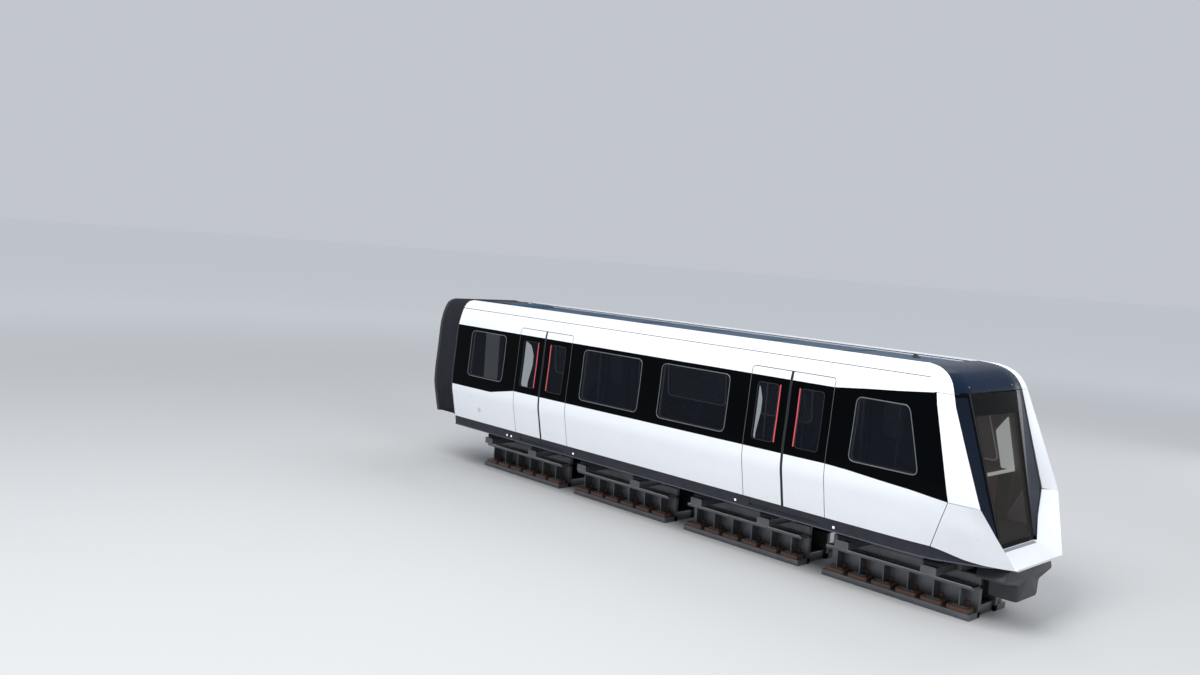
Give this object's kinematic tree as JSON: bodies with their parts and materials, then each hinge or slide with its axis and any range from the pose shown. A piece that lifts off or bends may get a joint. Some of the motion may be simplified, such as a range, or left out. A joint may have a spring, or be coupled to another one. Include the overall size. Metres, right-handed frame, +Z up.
{
  "type": "maglev train car",
  "caption": "End car of a magnetic levitation train: hollow cabin with side doors, raked glazed nose, rear gangway bellows and levitation frames under the floor.",
  "frame": {"origin": "centre of the bounding box at the height that the levitation frames stand on", "axes": "+X towards the nose, +Y to the left side, +Z up"},
  "size_m": [12.69, 2.5, 3.5],
  "materials": {
    "white_paint": "gloss",
    "cap_gloss": "high gloss",
    "roof_grey": "satin",
    "tinted_glass": "tinted, gloss",
    "skirt_slate": "satin",
    "frame_steel": "satin",
    "gear_steel": "worn satin",
    "bellows_rubber": "matt",
    "floor_covering": "matt, speckled",
    "interior_panel": "satin",
    "bench_plastic": "satin",
    "grab_steel": "brushed"
  },
  "bodies": {
    "car": {"side_wall_right": "white_paint", "side_wall_left": "white_paint", "nose_pillar_right": "white_paint", "nose_pillar_left": "white_paint", "nose_lower_panel": "white_paint", "door_rear_right_rear_leaf": "white_paint", "door_rear_right_front_leaf": "white_paint", "door_front_right_rear_leaf": "white_paint", "door_front_right_front_leaf": "white_paint", "door_rear_left_rear_leaf": "white_paint", "door_rear_left_front_leaf": "white_paint", "door_front_left_rear_leaf": "white_paint", "door_front_left_front_leaf": "white_paint", "roof_cap": "cap_gloss", "roof_deck": "roof_grey", "door_rear_right_rear_pane": "tinted_glass", "door_rear_right_front_pane": "tinted_glass", "door_front_right_rear_pane": "tinted_glass", "door_front_right_front_pane": "tinted_glass", "door_rear_left_rear_pane": "tinted_glass", "door_rear_left_front_pane": "tinted_glass", "door_front_left_rear_pane": "tinted_glass", "door_front_left_front_pane": "tinted_glass", "window_rear_right": "tinted_glass", "window_middle_rear_right": "tinted_glass", "window_middle_front_right": "tinted_glass", "window_front_right": "tinted_glass", "window_rear_left": "tinted_glass", "window_middle_rear_left": "tinted_glass", "window_middle_front_left": "tinted_glass", "window_front_left": "tinted_glass", "windscreen_right": "tinted_glass", "windscreen_left": "tinted_glass", "skirt_right": "skirt_slate", "skirt_left": "skirt_slate", "roof_unit": "frame_steel", "roof_antenna": "frame_steel", "underframe": "frame_steel", "front_deflector": "frame_steel", "gangway_car_frame": "frame_steel", "windscreen_post_right": "frame_steel", "windscreen_post_left": "frame_steel", "gangway_bellows": "bellows_rubber", "floor": "floor_covering", "rear_end_wall": "interior_panel", "bench_rear_right": "bench_plastic", "bench_middle_right": "bench_plastic", "bench_rear_left": "bench_plastic", "bench_middle_left": "bench_plastic", "grab_poles_right": "grab_steel", "grab_poles_left": "grab_steel"},
    "front_exit": {"front_exit_door": "tinted_glass"},
    "coupling": {"gangway_outer_frame": "frame_steel", "coupling_yoke": "frame_steel"},
    "levitation_1": {"levitation_frame_1": "gear_steel"},
    "levitation_2": {"levitation_frame_2": "gear_steel"},
    "levitation_3": {"levitation_frame_3": "gear_steel"},
    "levitation_4": {"levitation_frame_4": "gear_steel"}
  },
  "joints": [
    {"name": "levitation_1_yaw", "type": "hinge", "parent": "car", "child": "levitation_1", "pos_m": [-4.055, 0, 0.58], "axis": [0, 0, 1], "range_deg": [-6, 6]},
    {"name": "levitation_2_yaw", "type": "hinge", "parent": "car", "child": "levitation_2", "pos_m": [-1.205, 0, 0.58], "axis": [0, 0, 1], "range_deg": [-3, 3]},
    {"name": "levitation_3_yaw", "type": "hinge", "parent": "car", "child": "levitation_3", "pos_m": [1.645, 0, 0.58], "axis": [0, 0, 1], "range_deg": [-3, 3]},
    {"name": "levitation_4_yaw", "type": "hinge", "parent": "car", "child": "levitation_4", "pos_m": [4.495, 0, 0.58], "axis": [0, 0, 1], "range_deg": [-6, 6]},
    {"name": "gangway_yaw", "type": "hinge", "parent": "car", "child": "coupling", "pos_m": [-6, 0, 0.95], "axis": [0, 0, 1], "range_deg": [-8, 8], "deforming": ["gangway_bellows"]},
    {"name": "front_exit_swing", "type": "hinge", "parent": "car", "child": "front_exit", "pos_m": [6.0158, -0.5086, 1.1], "axis": [0.2681, 0.1002, -0.9582], "range_deg": [0, 95]}
  ]
}
